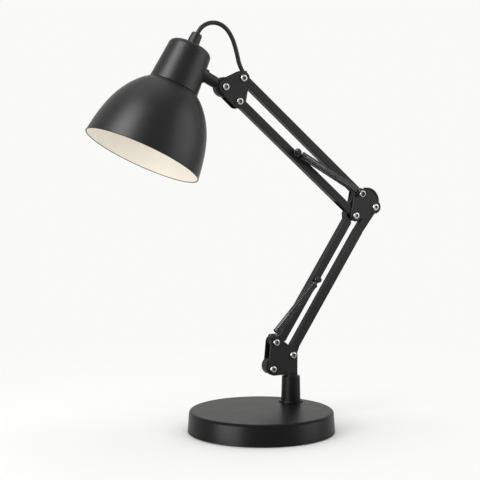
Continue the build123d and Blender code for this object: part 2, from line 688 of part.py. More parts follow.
def bell_solid(inset):
    """The bell's form from its axis out to a smooth curve, drawn in by inset."""
    waist = (WAIST[0] * MOUTH_R, WAIST[1] * BELL_H)
    shoulder = (SHOULDER[0] * MOUTH_R, SHOULDER[1] * BELL_H)
    steps = [(MOUTH_R, 0.0), waist, shoulder, (NECK_R, BELL_H)]
    ways = [(-0.1, 1.0), (-0.32, 0.95), (-0.64, 0.77), (-0.82, 0.57)]
    curve = Spline(
        *[(r - inset * w[1], h + inset * w[0]) for (r, h), w in zip(steps, ways)],
        tangents=[ways[0], ways[-1]],
    )
    start = curve @ 0
    end = curve @ 1
    rest = Polyline((end.X, end.Y), (0, end.Y), (0, start.Y), (start.X, start.Y))
    return revolve(Plane.XZ * make_face([curve, *rest.edges()]), Axis.Z)


def cap_solid(inset):
    top = BELL_H + CAP_H - inset
    foot_r = CAP_FOOT_R - inset
    top_r = CAP_TOP_R - inset
    body = turned(Polyline((0, BELL_H), (foot_r, BELL_H), (top_r, top), (0, top), close=True))
    return fillet(body.edges().group_by(Axis.Z)[-1], CAP_EDGE - inset)


def shade():
    axis = shade_axis()
    neck_hole = HOLDER_R + 2 * RUN
    bell = bell_solid(0) - bell_solid(SHEET_SHADE)
    low = BELL_H - SHEET_SHADE
    rim = NECK_R - DECK_BURY
    deck = turned(Polyline((neck_hole, low), (rim, low), (rim, BELL_H), (neck_hole, BELL_H), close=True))
    bell = bell + deck - Cylinder(neck_hole, 4 * BELL_H)
    bell += Torus(MOUTH_R - BEAD_R / 2, BEAD_R)
    save(axis * bell, "shade_bell")

    stem_line = Pos(0, 0, STEM_HEIGHT) * Rot(0, 90, 0)
    skin = cap_radius(STEM_HEIGHT)
    cap = cap_solid(0) - cap_solid(SHEET_SHADE)
    cap -= stem_line * Cylinder(BOSS_NECK_R + SLIP, 2 * CAP_FOOT_R, align=BOTTOM)
    gland_bore = CORD_R + 2 * RUN
    cap -= Pos(0, 0, BELL_H + CAP_H - 2 * SHEET_SHADE) * Cylinder(gland_bore, 8 * SHEET_SHADE, align=BOTTOM)
    save(axis * cap, "shade_cap")
    flange = Pos(0, 0, skin - BOSS_BURY) * Cylinder(BOSS_FLANGE_R, BOSS_REACH + BOSS_BURY, align=BOTTOM)
    boss = stem_line * flange - cap_solid(0)
    inner = skin - 2 * SHEET_SHADE - BOSS_REACH
    boss += stem_line * (Pos(0, 0, inner) * Cylinder(BOSS_NECK_R, skin - inner + BOSS_REACH / 2, align=BOTTOM))
    boss -= stem_line * Cylinder(STEM_PIN_R + RUN, 4 * CAP_FOOT_R)
    save(axis * boss, "stem_boss")

    gland_at = BELL_H + CAP_H
    gland = Pos(0, 0, gland_at) * Cone(GLAND_FOOT_R, GLAND_TOP_R, GLAND_H, align=BOTTOM)
    gland = fillet(gland.edges().group_by(Axis.Z)[-1], GLAND_EDGE)
    gland -= Pos(0, 0, gland_at + GLAND_H - CORD_SEAT) * Cylinder(gland_bore, GLAND_H, align=BOTTOM)
    save(axis * gland, "cord_gland")

    foot = BELL_H - HOLDER_DROP
    holder = Pos(0, 0, foot) * Cylinder(HOLDER_R, HOLDER_H, align=BOTTOM)
    holder = chamfer(holder.edges().group_by(Axis.Z)[-1], HOLDER_EDGE)
    holder += Pos(0, 0, BELL_H) * Cylinder(HOLDER_FLANGE_R, HOLDER_FLANGE_T, align=BOTTOM)
    holder -= Pos(0, 0, foot) * Cylinder(SOCKET_R, SOCKET_DEPTH, align=BOTTOM)
    save(axis * holder, "lampholder")
    ring_low = BELL_H - SHEET_SHADE - RING_T
    ring = extrude(Circle(RING_R) - Circle(HOLDER_R + SLIP), RING_T)
    save(axis * (Pos(0, 0, ring_low) * ring), "lampholder_ring")
    bulb_top = foot + SOCKET_DEPTH
    bulb = Pos(0, 0, foot - BULB_COLLAR) * Cylinder(BULB_BASE_R, SOCKET_DEPTH + BULB_COLLAR, align=BOTTOM)
    glass = Pos(0, 0, bulb_top - BULB_DROP - BULB_R / 2) * Sphere(BULB_R)
    waist = bulb_top - BULB_DROP - BULB_COLLAR
    shank = Cone(BULB_SHANK * BULB_R, BULB_BASE_R, foot - bulb_top + BULB_DROP, align=BOTTOM)
    save(axis * (bulb + glass + Pos(0, 0, waist) * shank), "bulb")


def cord_route():
    """Points of the lead's route in the arms' plane, from its seat in the gland to the cable bush."""
    height = BELL_H + CAP_H + GLAND_H - CORD_SEAT
    gland = polar(TILT, STEM_REACH, 180 - SHADE_TILT)
    start = polar(gland, height - STEM_HEIGHT, 90 - SHADE_TILT)
    end = add(HEAD_TOP, CORD_END)
    span = math.dist(start, end)
    slope = math.degrees(math.atan2(end[1] - start[1], end[0] - start[0]))
    points = [start, polar(start, CORD_LEAD * span, 90 - SHADE_TILT)]
    for along, above in CORD_BENDS:
        points.append(polar(polar(start, along * span, slope), above * span, slope + 90))
    return points + [end]


def cord():
    route = cord_route()
    radii = []
    for p, q, r in zip(route, route[1:], route[2:]):
        turn = (Vector(*q) - Vector(*p)).get_angle(Vector(*r) - Vector(*q))
        radii.append(0.45 * min(math.dist(p, q), math.dist(q, r)) / math.tan(math.radians(turn / 2)))
    print("lead radii", [round(r, 1) for r in radii])
    path = FilletPolyline(*[(x, y, 0) for x, y in route], radius=radii)
    edges = path.edges().sort_by(path.wire())
    cut = route[GLAND_RUN_COUNT]
    nearest = min(range(len(edges)), key=lambda i: (edges[i] @ 0.5 - Vector(*cut, 0)).length)
    for name, part in (("lead_gland_half", edges[:nearest]), ("lead_bracket_half", edges[nearest:])):
        wire = Wire(part)
        start = wire @ 0
        way = wire % 0
        tube = sweep(Plane(origin=start, z_dir=way) * Circle(CORD_R), wire)
        ratio = tube.volume / (math.pi * CORD_R**2 * wire.length)
        print(name, "length", round(wire.length, 1), "volume ratio", round(ratio, 4))
        save(ARM * tube, name)


base_parts()
lower_bracket()
lower_links()
elbow()
upper_links()
springs()
head_bracket()
knuckle()
shade()
cord()
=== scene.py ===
import bpy
import json
import math
from mathutils import Matrix, Vector

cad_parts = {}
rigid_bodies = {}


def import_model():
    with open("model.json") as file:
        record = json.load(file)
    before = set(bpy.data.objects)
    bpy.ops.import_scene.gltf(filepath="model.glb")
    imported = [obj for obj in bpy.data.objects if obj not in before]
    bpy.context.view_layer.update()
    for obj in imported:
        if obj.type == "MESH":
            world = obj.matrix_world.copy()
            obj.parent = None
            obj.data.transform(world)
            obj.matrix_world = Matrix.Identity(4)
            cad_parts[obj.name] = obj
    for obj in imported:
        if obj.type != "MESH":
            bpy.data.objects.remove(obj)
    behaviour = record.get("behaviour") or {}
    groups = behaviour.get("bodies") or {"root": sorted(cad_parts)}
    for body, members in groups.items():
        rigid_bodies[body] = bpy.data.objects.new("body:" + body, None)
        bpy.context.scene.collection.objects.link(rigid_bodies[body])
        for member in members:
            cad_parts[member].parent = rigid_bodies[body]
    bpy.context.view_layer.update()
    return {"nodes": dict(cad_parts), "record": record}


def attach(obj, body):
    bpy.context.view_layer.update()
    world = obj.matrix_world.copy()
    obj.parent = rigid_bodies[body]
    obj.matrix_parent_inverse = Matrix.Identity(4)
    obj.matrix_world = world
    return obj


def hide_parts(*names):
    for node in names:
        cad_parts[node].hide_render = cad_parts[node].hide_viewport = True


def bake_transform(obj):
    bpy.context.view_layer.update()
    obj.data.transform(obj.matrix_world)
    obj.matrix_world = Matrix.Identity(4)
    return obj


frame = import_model()
nodes = frame["nodes"]

# Places and sizes of the lamp, in millimetres, as the solids have them
MM = 0.001
POST_X, POST_Y = 65.5, 33.0
FOOT_FRONT = (-28.2, 115.1)
FOOT_STEP = (27.0, -19.6)
FOOT_SCREW = (-33.0, 77.9)
LINK_L = 245.0
LOWER_ANGLE, UPPER_ANGLE = 56.3, 139.8
ELBOW_STEP = (-5.9, -31.1)
TILT_STEP = (-27.15, -12.3)
SHADE_TILT = 26.6
SHADE_AXIS = 90 - SHADE_TILT
STEM_REACH, STEM_HEIGHT = 65.2, 134.8
SPRING_Y = 13.6


def add(p, q):
    return (p[0] + q[0], p[1] + q[1])


def polar(p, length, angle):
    """The place at a length and an angle in degrees from another."""
    a = math.radians(angle)
    return (p[0] + length * math.cos(a), p[1] + length * math.sin(a))


def world(p, front=0.0):
    """A place in the arms' plane, and a distance in front of it, as a point in metres."""
    return Vector(((POST_X + p[0]) * MM, (POST_Y - front) * MM, p[1] * MM))


ELBOW = polar(FOOT_FRONT, LINK_L, LOWER_ANGLE)
ELBOW_LOW = add(ELBOW, ELBOW_STEP)
ELBOW_REAR = add(ELBOW, FOOT_STEP)
HEAD_TOP = polar(ELBOW, LINK_L, UPPER_ANGLE)
HEAD_LOW = add(HEAD_TOP, ELBOW_STEP)
TILT = add(HEAD_TOP, TILT_STEP)
STEM_END = polar(TILT, STEM_REACH, 180 - SHADE_TILT)
MOUTH = polar(STEM_END, -STEM_HEIGHT, SHADE_AXIS)


# Camera, placed in metres

CAMERA_PLACE = (-0.8218, -1.48391, 0.3762)
CAMERA_AIM = (-0.02557, 0.0136, 0.25999)
SENSOR_WIDTH, LENS = 36.0, 94.84


def point_at(thing, target):
    """Turns a camera or a lamp towards a place."""
    way = Vector(target) - thing.location
    thing.rotation_euler = way.to_track_quat("-Z", "Y").to_euler()


def place_camera():
    data = bpy.data.cameras.new("camera")
    data.sensor_width = SENSOR_WIDTH
    data.lens = LENS
    camera = bpy.data.objects.new("camera", data)
    bpy.context.scene.collection.objects.link(camera)
    camera.location = CAMERA_PLACE
    point_at(camera, CAMERA_AIM)
    bpy.context.scene.camera = camera


place_camera()


# Materials


class Value:
    """A socket of a material, with arithmetic that adds Math nodes."""

    def __init__(self, paint, socket):
        self.paint = paint
        self.socket = socket

    def _math(self, operation, a, b):
        return self.paint.node("ShaderNodeMath", {"operation": operation}, {0: a, 1: b})

    def __add__(self, other):
        return self._math("ADD", self, other)

    def __sub__(self, other):
        return self._math("SUBTRACT", self, other)

    def __rsub__(self, other):
        return self._math("SUBTRACT", other, self)

    def __mul__(self, other):
        return self._math("MULTIPLY", self, other)

    def least(self, other):
        return self._math("MINIMUM", self, other)

    def most(self, other):
        return self._math("MAXIMUM", self, other)


class Paint:
    """One material and its nodes."""

    def __init__(self, name):
        self.material = bpy.data.materials.new(name)
        self.material.use_nodes = True
        self.tree = self.material.node_tree
        self.tree.nodes.clear()
        self.output = self.tree.nodes.new("ShaderNodeOutputMaterial")

    def node(self, kind, settings=None, inputs=None, output=0):
        made = self.tree.nodes.new(kind)
        for key, value in (settings or {}).items():
            if key == "stops":
                ramp = made.color_ramp
                while len(ramp.elements) < len(value):
                    ramp.elements.new(1.0)
                for element, (place, colour) in zip(ramp.elements, value):
                    element.position = place
                    element.color = colour
            else:
                setattr(made, key, value)
        for key, value in (inputs or {}).items():
            if isinstance(value, Value):
                self.tree.links.new(value.socket, made.inputs[key])
            else:
                made.inputs[key].default_value = value
        return Value(self, made.outputs[output])

    def place(self, output="Object"):
        return self.node("ShaderNodeTexCoord", output=output)

    def noise(self, scale, detail=3.0, roughness=0.55, vector=None):
        where = vector or self.place()
        inputs = {"Vector": where, "Scale": scale, "Detail": detail, "Roughness": roughness}
        return self.node("ShaderNodeTexNoise", None, inputs)

    def ramp(self, value, *stops):
        return self.node("ShaderNodeValToRGB", {"stops": stops}, {"Fac": value})

    def mix(self, factor, a, b):
        inputs = {"Factor": factor, 6: a, 7: b}
        return self.node("ShaderNodeMix", {"data_type": "RGBA"}, inputs, output=2)

    def bump(self, height, strength, distance):
        inputs = {"Height": height, "Strength": strength, "Distance": distance}
        return self.node("ShaderNodeBump", None, inputs)

    def surface(self, shader):
        self.tree.links.new(shader.socket, self.output.inputs["Surface"])
        return self.material

    def finish(self, **inputs):
        keys = {k.replace("_", " "): v for k, v in inputs.items()}
        return self.surface(self.node("ShaderNodeBsdfPrincipled", None, keys))


def grey(tone):
    return (tone, tone, tone, 1)


def satin_black(name="satin_black", tone=0.006, gloss=0.42, sheen=0.16):
    """Powder-coated black: a fine orange peel, faint mottling and a broad soft sheen."""
    paint = Paint(name)
    grain = paint.noise(2600.0, detail=2.0)
    drift = paint.noise(38.0, detail=4.0)
    dark = (tone * 0.9, tone * 0.9, tone * 0.92, 1)
    light = (tone * 1.12, tone * 1.12, tone * 1.14, 1)
    return paint.finish(
        Base_Color=paint.mix(drift, dark, light),
        Roughness=drift * 0.06 + grain * 0.05 + (gloss - 0.055),
        Normal=paint.bump(grain, 0.10, 0.0002),
        Specular_IOR_Level=sheen,
    )


def cream_enamel():
    """The shade's inner face: smooth warm white enamel."""
    paint = Paint("cream_enamel")
    cloud = paint.noise(26.0)
    peel = paint.noise(1500.0, detail=2.0)
    return paint.finish(
        Base_Color=paint.mix(cloud, (0.955, 0.905, 0.81, 1), (0.975, 0.93, 0.84, 1)),
        Roughness=cloud * 0.08 + 0.5,
        Normal=paint.bump(peel, 0.05, 0.0002),
        Specular_IOR_Level=0.12,
    )


def bright_steel():
    """Plated screws: bright, with fine turning marks and a little smear."""
    paint = Paint("bright_steel")
    smear = paint.noise(700.0)
    fine = paint.noise(5200.0, detail=2.0)
    return paint.finish(
        Base_Color=paint.mix(smear, (0.62, 0.62, 0.61, 1), (0.80, 0.80, 0.79, 1)),
        Metallic=1.0,
        Roughness=smear * 0.12 + 0.16,
        Normal=paint.bump(fine, 0.06, 0.0001),
    )


# How far in front of the arms' plane the painted shade in a screw's socket starts to show and shows in full
SOCKET_SHADE_FROM, SOCKET_SHADE_FULL = 8.0, 8.4


def pivot_steel(name, sockets):
    """Button heads: turned rings round each screw's axis, and painted shade in the socket in the middle of
    each head: near-black, duller and less metallic within each radius.
    """
    paint = Paint(name)
    where = paint.place()
    flat = paint.node("ShaderNodeVectorMath", {"operation": "MULTIPLY"}, {0: where, 1: (1, 0, 1)})
    wall = None
    for p, radius in sockets:
        middle = world(p)
        ends = {0: flat, 1: (middle.x, 0, middle.z)}
        edge = paint.node("ShaderNodeVectorMath", {"operation": "DISTANCE"}, ends, output=1) - radius * MM
        wall = edge if wall is None else wall.least(edge)
    inside = {"Value": wall, "From Min": 0.0002, "From Max": -0.0001}
    front = paint.node("ShaderNodeSeparateXYZ", None, {"Vector": where}, output=1)
    first, last = (POST_Y - SOCKET_SHADE_FROM) * MM, (POST_Y - SOCKET_SHADE_FULL) * MM
    ahead = {"Value": front, "From Min": first, "From Max": last}
    # Painted shade: dark inside each socket's radius, on the heads in front of the arms' plane
    dark = paint.node("ShaderNodeMapRange", None, inside) * paint.node("ShaderNodeMapRange", None, ahead)
    rings = paint.node("ShaderNodeTexNoise", {"noise_dimensions": "1D"}, {"W": wall, "Scale": 7000.0})
    smear = paint.noise(600.0)
    bright = paint.mix(smear, (0.24, 0.24, 0.235, 1), (0.37, 0.37, 0.365, 1))
    return paint.finish(
        # Plated steel, with the sockets' painted shade as a near-black grey
        Base_Color=paint.mix(dark, bright, grey(0.05)),
        Metallic=1.0 - dark * 0.3,
        Roughness=smear * 0.1 + rings * 0.08 + dark * 0.25 + 0.14,
        Normal=paint.bump(rings, 0.05, 0.0001),
    )


def spring_wire():
    """Dark plated spring wire with brighter rubs along its coils."""
    paint = Paint("spring_wire")
    rub = paint.noise(900.0)
    draw = paint.noise(4200.0, detail=2.0)
    return paint.finish(
        Base_Color=paint.ramp(rub, (0.35, (0.018, 0.018, 0.019, 1)), (0.75, (0.06, 0.06, 0.062, 1))),
        Metallic=0.75,
        Roughness=rub * 0.15 + 0.28,
        Normal=paint.bump(draw, 0.12, 0.0001),
    )


def moulded_black(name="moulded_black", tone=0.008, gloss=0.46):
    """Moulded black plastic with a fine spark-eroded grain."""
    paint = Paint(name)
    grain = paint.noise(3600.0, detail=2.0)
    drift = paint.noise(60.0)
    return paint.finish(
        Base_Color=paint.mix(drift, grey(tone), grey(tone * 1.3)),
        Roughness=grain * 0.12 + (gloss - 0.06),
        Normal=paint.bump(grain, 0.18, 0.0002),
        Specular_IOR_Level=0.18,
    )


def lead_sheath():
    """Smooth flexible sheath with faint lengthwise die marks."""
    paint = Paint("lead_sheath")
    stretch = {"Vector": paint.place("UV"), "Scale": (3.0, 60.0, 1.0)}
    die = paint.noise(6.0, vector=paint.node("ShaderNodeMapping", None, stretch))
    grain = paint.noise(2400.0, detail=2.0)
    return paint.finish(
        Base_Color=paint.mix(die, grey(0.007), grey(0.012)),
        Roughness=die * 0.08 + grain * 0.06 + 0.4,
        Normal=paint.bump(die, 0.08, 0.0002),
        Specular_IOR_Level=0.18,
    )


def cast_iron():
    """The base's weight: rough dark iron with pits."""
    paint = Paint("cast_iron")
    pits = paint.noise(420.0, detail=5.0)
    return paint.finish(
        Base_Color=paint.ramp(pits, (0.3, grey(0.05)), (0.7, grey(0.12))),
        Metallic=0.6,
        Roughness=pits * 0.2 + 0.55,
        Normal=paint.bump(pits, 0.5, 0.0006),
    )


def foam_pad():
    """The pad under the base: dark foam with small cells."""
    paint = Paint("foam_pad")
    cells = paint.node("ShaderNodeTexVoronoi", None, {"Vector": paint.place(), "Scale": 1400.0})
    return paint.finish(
        Base_Color=paint.ramp(cells, (0.0, grey(0.012)), (0.6, grey(0.035))),
        Roughness=0.9 - cells * 0.1,
        Normal=paint.bump(cells, 0.4, 0.0004),
    )


def opal_glass():
    """The bulb: soft white glass."""
    paint = Paint("opal_glass")
    cloud = paint.noise(60.0)
    return paint.finish(
        Base_Color=paint.mix(cloud, (0.90, 0.88, 0.83, 1), (0.95, 0.94, 0.90, 1)),
        Roughness=cloud * 0.06 + 0.18,
        Normal=paint.bump(cloud, 0.02, 0.0005),
        Coat_Weight=0.5,
    )


black = satin_black()
base_black = satin_black("base_black", tone=0.004, gloss=0.37, sheen=0.105)
shade_black = satin_black("shade_black", tone=0.004, gloss=0.39, sheen=0.18)
lip_black = satin_black("lip_black", tone=0.006, gloss=0.36, sheen=0.3)
cream = cream_enamel()
wire = spring_wire()
plastic = moulded_black()
sheath = lead_sheath()

FINISHES = {
    "black_paint": black,
    "shade_paint": shade_black,
    "bright_steel": bright_steel(),
    "spring_steel": wire,
    "washer_plastic": moulded_black("dark_nylon", tone=0.012, gloss=0.42),
    "black_plastic": plastic,
    "cast_weight": cast_iron(),
    "bottom_plate": black,
    "foot_pad": foam_pad(),
    "lead_sheath": sheath,
    "bulb_glass": opal_glass(),
}
# Radii of the painted shade in the hex sockets and in the hollow eyelet at the elbow
HEX_SHADE_R, EYELET_SHADE_R = 2.45, 3.3
FOOT_SOCKETS = ((FOOT_FRONT, HEX_SHADE_R), (add(FOOT_FRONT, FOOT_STEP), HEX_SHADE_R), (FOOT_SCREW, HEX_SHADE_R))
ELBOW_SOCKETS = ((ELBOW, EYELET_SHADE_R), (ELBOW_REAR, HEX_SHADE_R), (ELBOW_LOW, HEX_SHADE_R))
HEAD_SOCKETS = ((TILT, HEX_SHADE_R), (HEAD_TOP, HEX_SHADE_R), (HEAD_LOW, HEX_SHADE_R))
OWN_FINISH = {
    "lower_bracket_screws": pivot_steel("lower_bracket_steel", FOOT_SOCKETS),
    "elbow_screws": pivot_steel("elbow_steel", ELBOW_SOCKETS),
    "head_bracket_screws": pivot_steel("head_bracket_steel", HEAD_SOCKETS),
    "lower_anchor_stud": black,
    "lower_link_stud": black,
    "upper_link_stud": black,
    "swivel_spindle": black,
    "base_shell": base_black,
    "base_post": base_black,
    "post_collar": base_black,
}


def coat(piece, *finishes):
    piece.data.materials.clear()
    for finish in finishes:
        piece.data.materials.append(finish)


for part in frame["record"]["subparts"]:
    coat(nodes[part["node"]], OWN_FINISH.get(part["node"], FINISHES[part["material_slot"]]))


# Modelling helpers. The piece in hand is the active one.

TURN_STEPS = 128
WELD_TURNED, WELD_COIL, WELD_CUT = 1e-6, 1e-7, 2e-5


def clear_selection():
    bpy.ops.object.select_all(action="DESELECT")


def take_up(piece):
    clear_selection()
    bpy.context.view_layer.objects.active = piece
    piece.select_set(True)


def name_new(name):
    piece = bpy.context.object
    piece.name = name
    piece.data.name = name
    return piece


def apply_modifier(piece, kind, **settings):
    modifier = piece.modifiers.new(kind.lower(), kind)
    for key, value in settings.items():
        setattr(modifier, key, value)
    bpy.ops.object.modifier_apply(modifier=modifier.name)


def soften(piece, width, segments=3, angle=50.0):
    """Rounds the edges that turn by more than an angle."""
    limit = math.radians(angle)
    apply_modifier(
        piece, "BEVEL", width=width * MM, segments=segments, limit_method="ANGLE", angle_limit=limit
    )


def smooth(angle):
    bpy.ops.object.shade_smooth_by_angle(angle=math.radians(angle))


def set_down(piece, matrix):
    """Moves a finished piece to its place and leaves its object at the origin."""
    piece.matrix_world = matrix
    bpy.ops.object.transform_apply(location=True, rotation=True, scale=True)


def edit_all():
    """Opens the piece in hand for editing, with all of it selected."""
    bpy.ops.object.mode_set(mode="EDIT")
    bpy.ops.mesh.select_all(action="SELECT")


def close_outward():
    """Turns all faces of the piece in hand outwards and ends its editing."""
    bpy.ops.mesh.select_all(action="SELECT")
    bpy.ops.mesh.normals_make_consistent(inside=False)
    bpy.ops.object.mode_set(mode="OBJECT")


def combine(piece, other, operation):
    """Joins another piece to this one, or cuts it away, and leaves this one in hand."""
    take_up(piece)
    apply_modifier(piece, "BOOLEAN", operation=operation, object=other, solver="EXACT")
    bpy.data.objects.remove(other)
    edit_all()
    bpy.ops.mesh.remove_doubles(threshold=WELD_CUT)
    bpy.ops.object.mode_set(mode="OBJECT")


def raise_rings(radius, height, profile):
    """Extrudes the selected ring up through the profile's radii and heights."""
    for r, h in profile:
        bpy.ops.mesh.extrude_region_move(TRANSFORM_OT_translate={"value": (0, 0, (h - height) * MM)})
        k = r / radius
        bpy.ops.transform.resize(value=(k, k, 1), center_override=(0, 0, h * MM))
        radius, height = r, h


def upright_ring(thick, radius, height, vertices=10):
    """A small ring across the XZ plane: the section of a bead or wire at a radius and a height."""
    bpy.ops.mesh.primitive_circle_add(
        vertices=vertices,
        radius=thick * MM,
        location=(radius * MM, 0, height * MM),
        rotation=(math.pi / 2, 0, 0),
    )


def turn_round():
    """Turns the selected section once round the Z axis."""
    bpy.ops.mesh.spin(steps=TURN_STEPS, angle=2 * math.pi, center=(0, 0, 0), axis=(0, 0, 1))


# Shade: a spun bell, black outside and cream inside, with a bead round its mouth

MOUTH_R, BEAD_R, BELL_WALL = 80.0, 0.75, 1.2
BELL_H, CAP_FOOT_R, LIP_R, CROWN_HOLE_R = 100.0, 34.2, 0.7, 20.0
BELL_PROFILE = (
    (79.6, 4.0),
    (78.6, 12.0),
    (77.2, 21.0),
    (75.4, 30.0),
    (73.0, 40.0),
    (70.0, 50.0),
    (66.1, 60.0),
    (61.1, 70.0),
    (55.2, 79.5),
    (48.0, 88.5),
    (41.8, 94.9),
    (35.4, 99.6),
    (34.6, BELL_H),
    (CROWN_HOLE_R, BELL_H),
)


def shade_frame():
    """The frame of the shade: Z along its axis from the middle of the mouth."""
    along = Vector((math.sin(math.radians(SHADE_TILT)), 0, math.cos(math.radians(SHADE_TILT))))
    side = Vector((0, 1, 0))
    across = side.cross(along)
    turn = Matrix((across, side, along)).transposed().to_4x4()
    return Matrix.Translation(world(MOUTH)) @ turn


def turn_bead(radius, height, thick):
    """Adds a round bead to the piece in hand, turned about its axis."""
    bpy.ops.object.mode_set(mode="EDIT")
    bpy.ops.mesh.select_all(action="DESELECT")
    upright_ring(thick, radius, height, vertices=12)
    turn_round()
    bpy.ops.mesh.select_linked()
    bpy.ops.mesh.remove_doubles(threshold=WELD_TURNED)
    bpy.ops.mesh.normals_make_consistent(inside=False)
    bpy.ops.object.mode_set(mode="OBJECT")


def shade_bell():
    clear_selection()
    bpy.ops.mesh.primitive_circle_add(vertices=64, radius=MOUTH_R * MM, fill_type="NOTHING")
    piece = name_new("shade_shell")
    edit_all()
    raise_rings(MOUTH_R, 0.0, BELL_PROFILE)
    close_outward()
    coat(piece, shade_black, cream)
    apply_modifier(piece, "SUBSURF", levels=2, render_levels=2)
    apply_modifier(
        piece,
        "SOLIDIFY",
        thickness=BELL_WALL * MM,
        offset=-1.0,
        material_offset=1,
        material_offset_rim=0,
        use_even_offset=True,
    )
    soften(piece, 0.35)
    turn_bead(MOUTH_R - BEAD_R / 2, 0.0, BEAD_R)
    smooth(35)
    set_down(piece, shade_frame())
    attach(piece, "shade")
    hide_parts("shade_bell")


shade_bell()


def cap_lip():
    """The cap's rolled foot, where it sits on the bell."""
    clear_selection()
    upright_ring(LIP_R, CAP_FOOT_R, BELL_H + LIP_R)
    piece = name_new("cap_lip")
    bpy.ops.object.transform_apply(location=True, rotation=True)
    edit_all()
    turn_round()
    bpy.ops.mesh.select_all(action="SELECT")
    bpy.ops.mesh.remove_doubles(threshold=WELD_TURNED)
    close_outward()
    smooth(60)
    coat(piece, lip_black)
    set_down(piece, shade_frame())
    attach(piece, "shade")


cap_lip()


# Elbow: the curved strip that closes the gap between its plates, with its ends' angles in degrees

STRIP_HUB = (14.4, -11.8)
STRIP_R, STRIP_T, STRIP_W = 20.3, 2.6, 12.4
STRIP_FIRST, STRIP_LAST = -5.0, 86.0


def elbow_strip():
    clear_selection()
    bpy.ops.mesh.primitive_plane_add(size=1.0)
    piece = name_new("elbow_strip")
    piece.scale = (STRIP_T * MM, STRIP_W * MM, 1)
    piece.location = ((STRIP_R - STRIP_T / 2) * MM, 0, 0)
    bpy.ops.object.transform_apply(location=True, rotation=True, scale=True)
    edit_all()
    sweep = math.radians(STRIP_LAST - STRIP_FIRST)
    bpy.ops.mesh.spin(steps=40, angle=sweep, center=(0, 0, 0), axis=(0, 1, 0))
    close_outward()
    soften(piece, 0.4, angle=40)
    smooth(35)
    coat(piece, black)
    turn = Matrix.Rotation(-math.radians(STRIP_FIRST), 4, "Y")
    set_down(piece, Matrix.Translation(world(add(ELBOW, STRIP_HUB))) @ turn)
    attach(piece, "elbow")
    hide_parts("elbow_guard")


elbow_strip()


# Springs: close coils between the capped eyes

COIL_R, WIRE, COIL_STEPS = 4.6, 1.5, 20
EYE_R, EYE_NECK, EYE_CAP = 3.8, 4.5, 1.5
EYE_INSET = EYE_R + EYE_NECK + EYE_CAP
WOUND_PITCH = 2.3
ANCHOR_STEP = (-8.9, 9.2)
LOWER_STUD_REACH, LOWER_STUD_SIDE = 105.8, -5.9
UPPER_STUD_REACH, UPPER_STUD_SIDE = 134.0, -4.2


def spring_coil(name, node, start, end):
    a, b = world(start, SPRING_Y), world(end, SPRING_Y)
    way = (b - a).normalized()
    foot = a + way * EYE_INSET * MM
    length = (b - a).length / MM - 2 * EYE_INSET
    turns = round((length - WIRE) / WOUND_PITCH)
    pitch = (length - WIRE) / turns
    clear_selection()
    upright_ring(WIRE / 2, COIL_R, WIRE / 2)
    piece = name_new(name)
    bpy.ops.object.transform_apply(location=True, rotation=True)
    apply_modifier(
        piece,
        "SCREW",
        axis="Z",
        angle=2 * math.pi,
        screw_offset=pitch * MM,
        iterations=turns,
        steps=COIL_STEPS,
        render_steps=COIL_STEPS,
    )
    edit_all()
    bpy.ops.mesh.remove_doubles(threshold=WELD_COIL)
    bpy.ops.mesh.select_all(action="DESELECT")
    bpy.ops.mesh.select_non_manifold()
    bpy.ops.mesh.edge_face_add()
    close_outward()
    smooth(50)
    coat(piece, wire)
    turn = way.to_track_quat("Z", "Y").to_matrix().to_4x4()
    set_down(piece, Matrix.Translation(foot) @ turn)
    foot + way * length * MM
    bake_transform(piece)
    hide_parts(node)


LOWER_ANCHOR = add(FOOT_FRONT, ANCHOR_STEP)
LOWER_STUD = polar(polar(FOOT_FRONT, LOWER_STUD_REACH, LOWER_ANGLE), LOWER_STUD_SIDE, LOWER_ANGLE + 90)
UPPER_STUD = polar(polar(ELBOW_LOW, UPPER_STUD_REACH, UPPER_ANGLE), UPPER_STUD_SIDE, UPPER_ANGLE + 90)
spring_coil("lower_coil", "lower_spring", LOWER_ANCHOR, LOWER_STUD)
spring_coil("upper_coil", "upper_spring", ELBOW, UPPER_STUD)


# Upper spring's hook: an eye wide enough for the stud to shift in it as the arm tilts, a cap on the
# coil's end and a core inside the coil

HOOK_RING_R, HOOK_WIRE_R, HOOK_NECK_R = 4.8, 0.9, 0.85
HOOK_CAP_R, HOOK_CORE_R, HOOK_CORE_L = COIL_R + WIRE / 2, 2.5, 5.0
HOOK_PROFILE = (
    (HOOK_NECK_R, EYE_INSET - EYE_CAP),
    (HOOK_CAP_R, EYE_INSET - EYE_CAP),
    (HOOK_CAP_R, EYE_INSET),
    (HOOK_CORE_R, EYE_INSET),
    (HOOK_CORE_R, EYE_INSET + HOOK_CORE_L),
)


def spring_hook():
    clear_selection()
    foot = (0, 0, HOOK_RING_R * MM)
    bpy.ops.mesh.primitive_circle_add(vertices=32, radius=HOOK_NECK_R * MM, fill_type="NGON", location=foot)
    piece = name_new("upper_hook")
    bpy.ops.object.transform_apply(location=True)
    edit_all()
    raise_rings(HOOK_NECK_R, HOOK_RING_R, HOOK_PROFILE)
    close_outward()
    soften(piece, 0.25)
    clear_selection()
    bpy.ops.mesh.primitive_torus_add(
        major_radius=HOOK_RING_R * MM,
        minor_radius=HOOK_WIRE_R * MM,
        major_segments=48,
        minor_segments=14,
        rotation=(math.pi / 2, 0, 0),
    )
    combine(piece, name_new("hook_ring"), "UNION")
    smooth(35)
    coat(piece, wire)
    stud, back = world(UPPER_STUD, SPRING_Y), world(ELBOW, SPRING_Y)
    along = (back - stud).normalized()
    front = Vector((0, -1, 0))
    turn = Matrix((front.cross(along), front, along)).transposed().to_4x4()
    set_down(piece, Matrix.Translation(stud) @ turn)
    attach(piece, "upper_spring_end")
    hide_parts("upper_spring_hook")


spring_hook()
